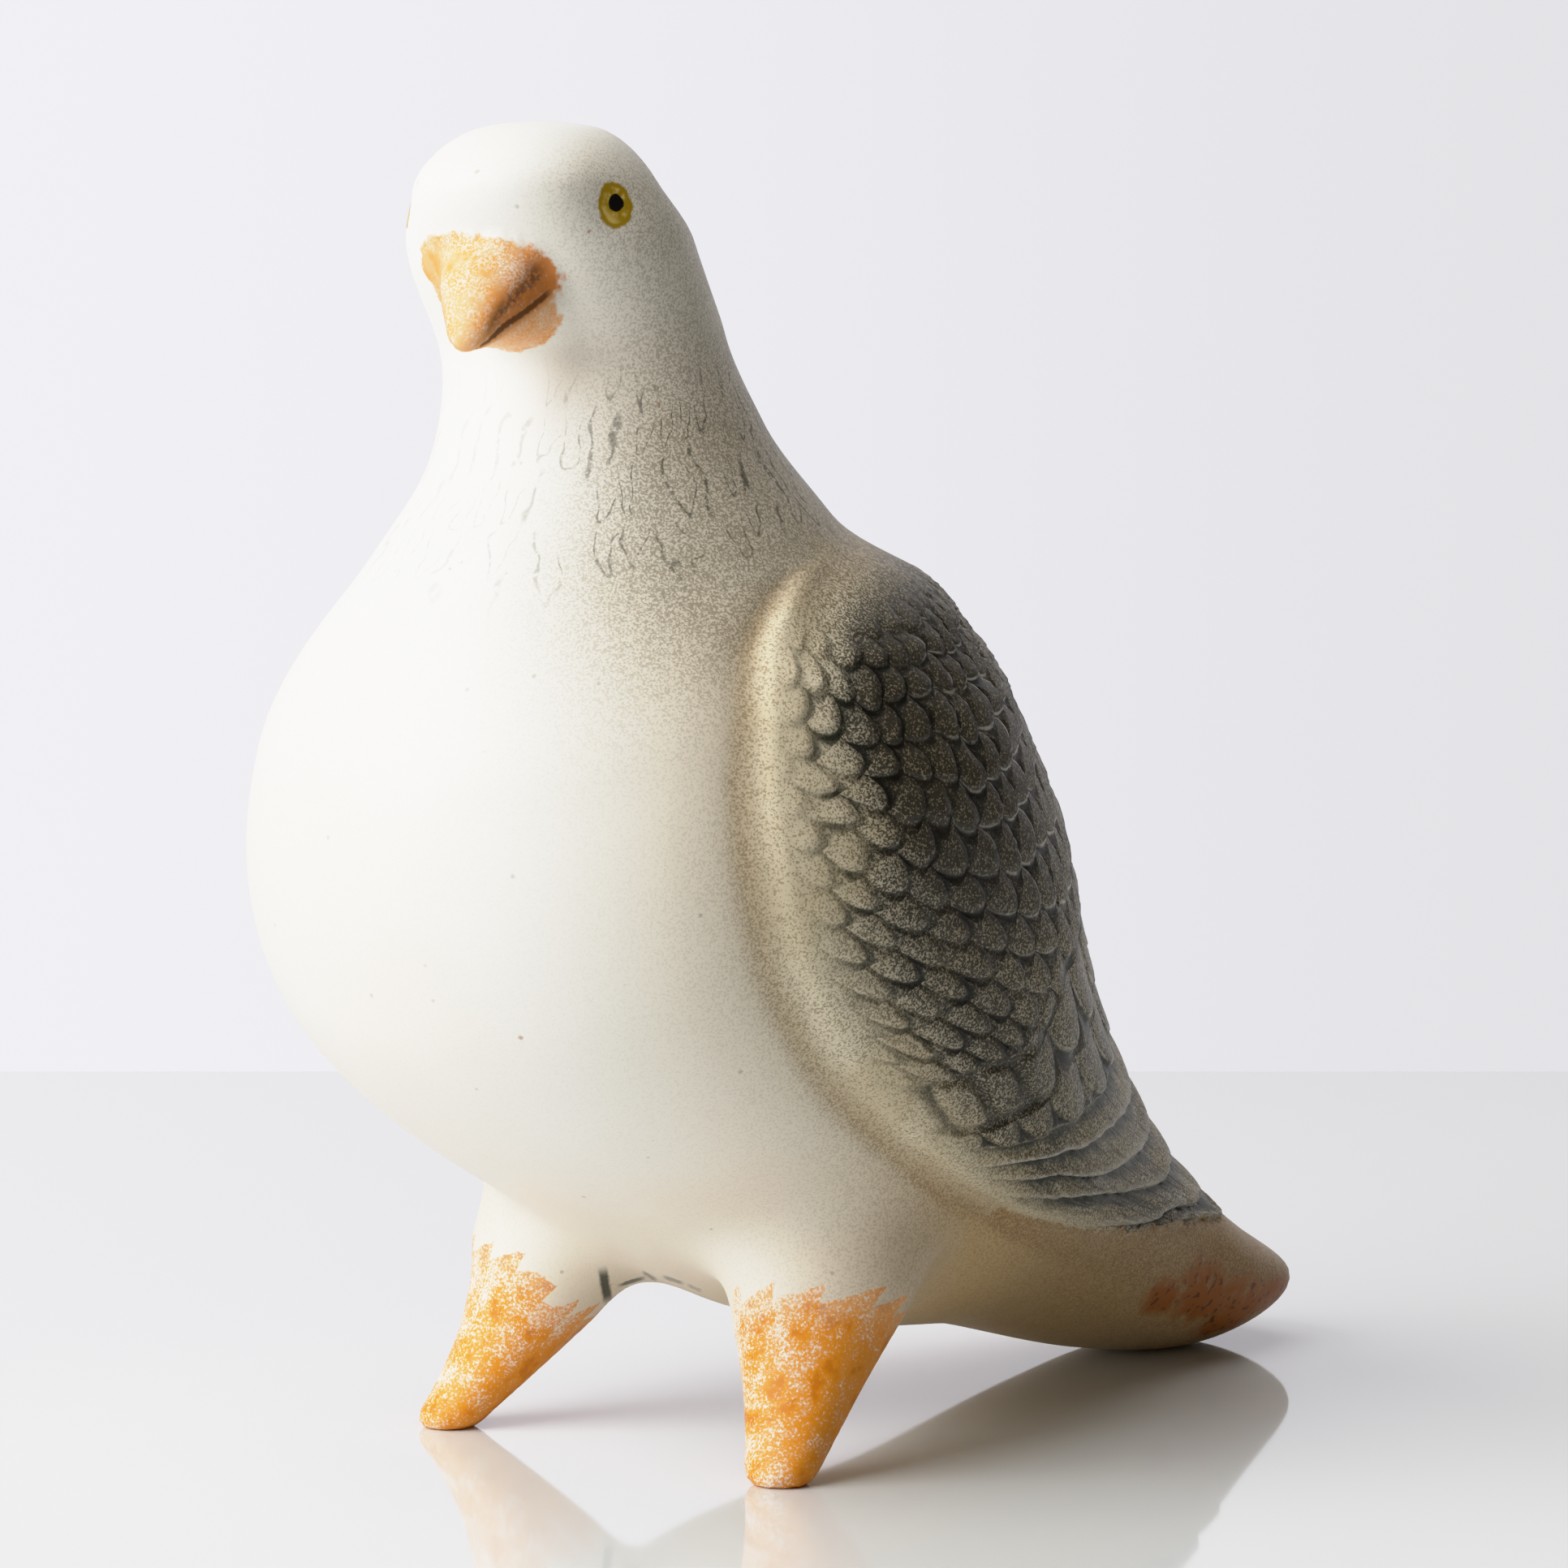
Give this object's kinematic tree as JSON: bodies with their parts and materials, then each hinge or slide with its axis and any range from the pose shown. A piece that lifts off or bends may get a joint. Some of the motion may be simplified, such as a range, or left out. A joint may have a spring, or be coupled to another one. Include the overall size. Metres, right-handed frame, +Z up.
{
  "type": "ceramic dove figurine",
  "caption": "Standing ceramic dove with a turned head, scaled wings, conical legs and a tail that meets the table.",
  "frame": {"origin": "middle of the footprint's bounding box, on the surface the figure stands on", "axes": "+Z up, the breast faces -Y, the tail points to +Y, the bird's left side is +X"},
  "size_m": [0.161, 0.2802, 0.2698],
  "materials": {
    "glaze": "semi-matte white stoneware glaze, speckled brown-grey on the wings, mottled orange on beak and legs"
  },
  "bodies": {
    "root": {"dove": "glaze"}
  },
  "joints": []
}
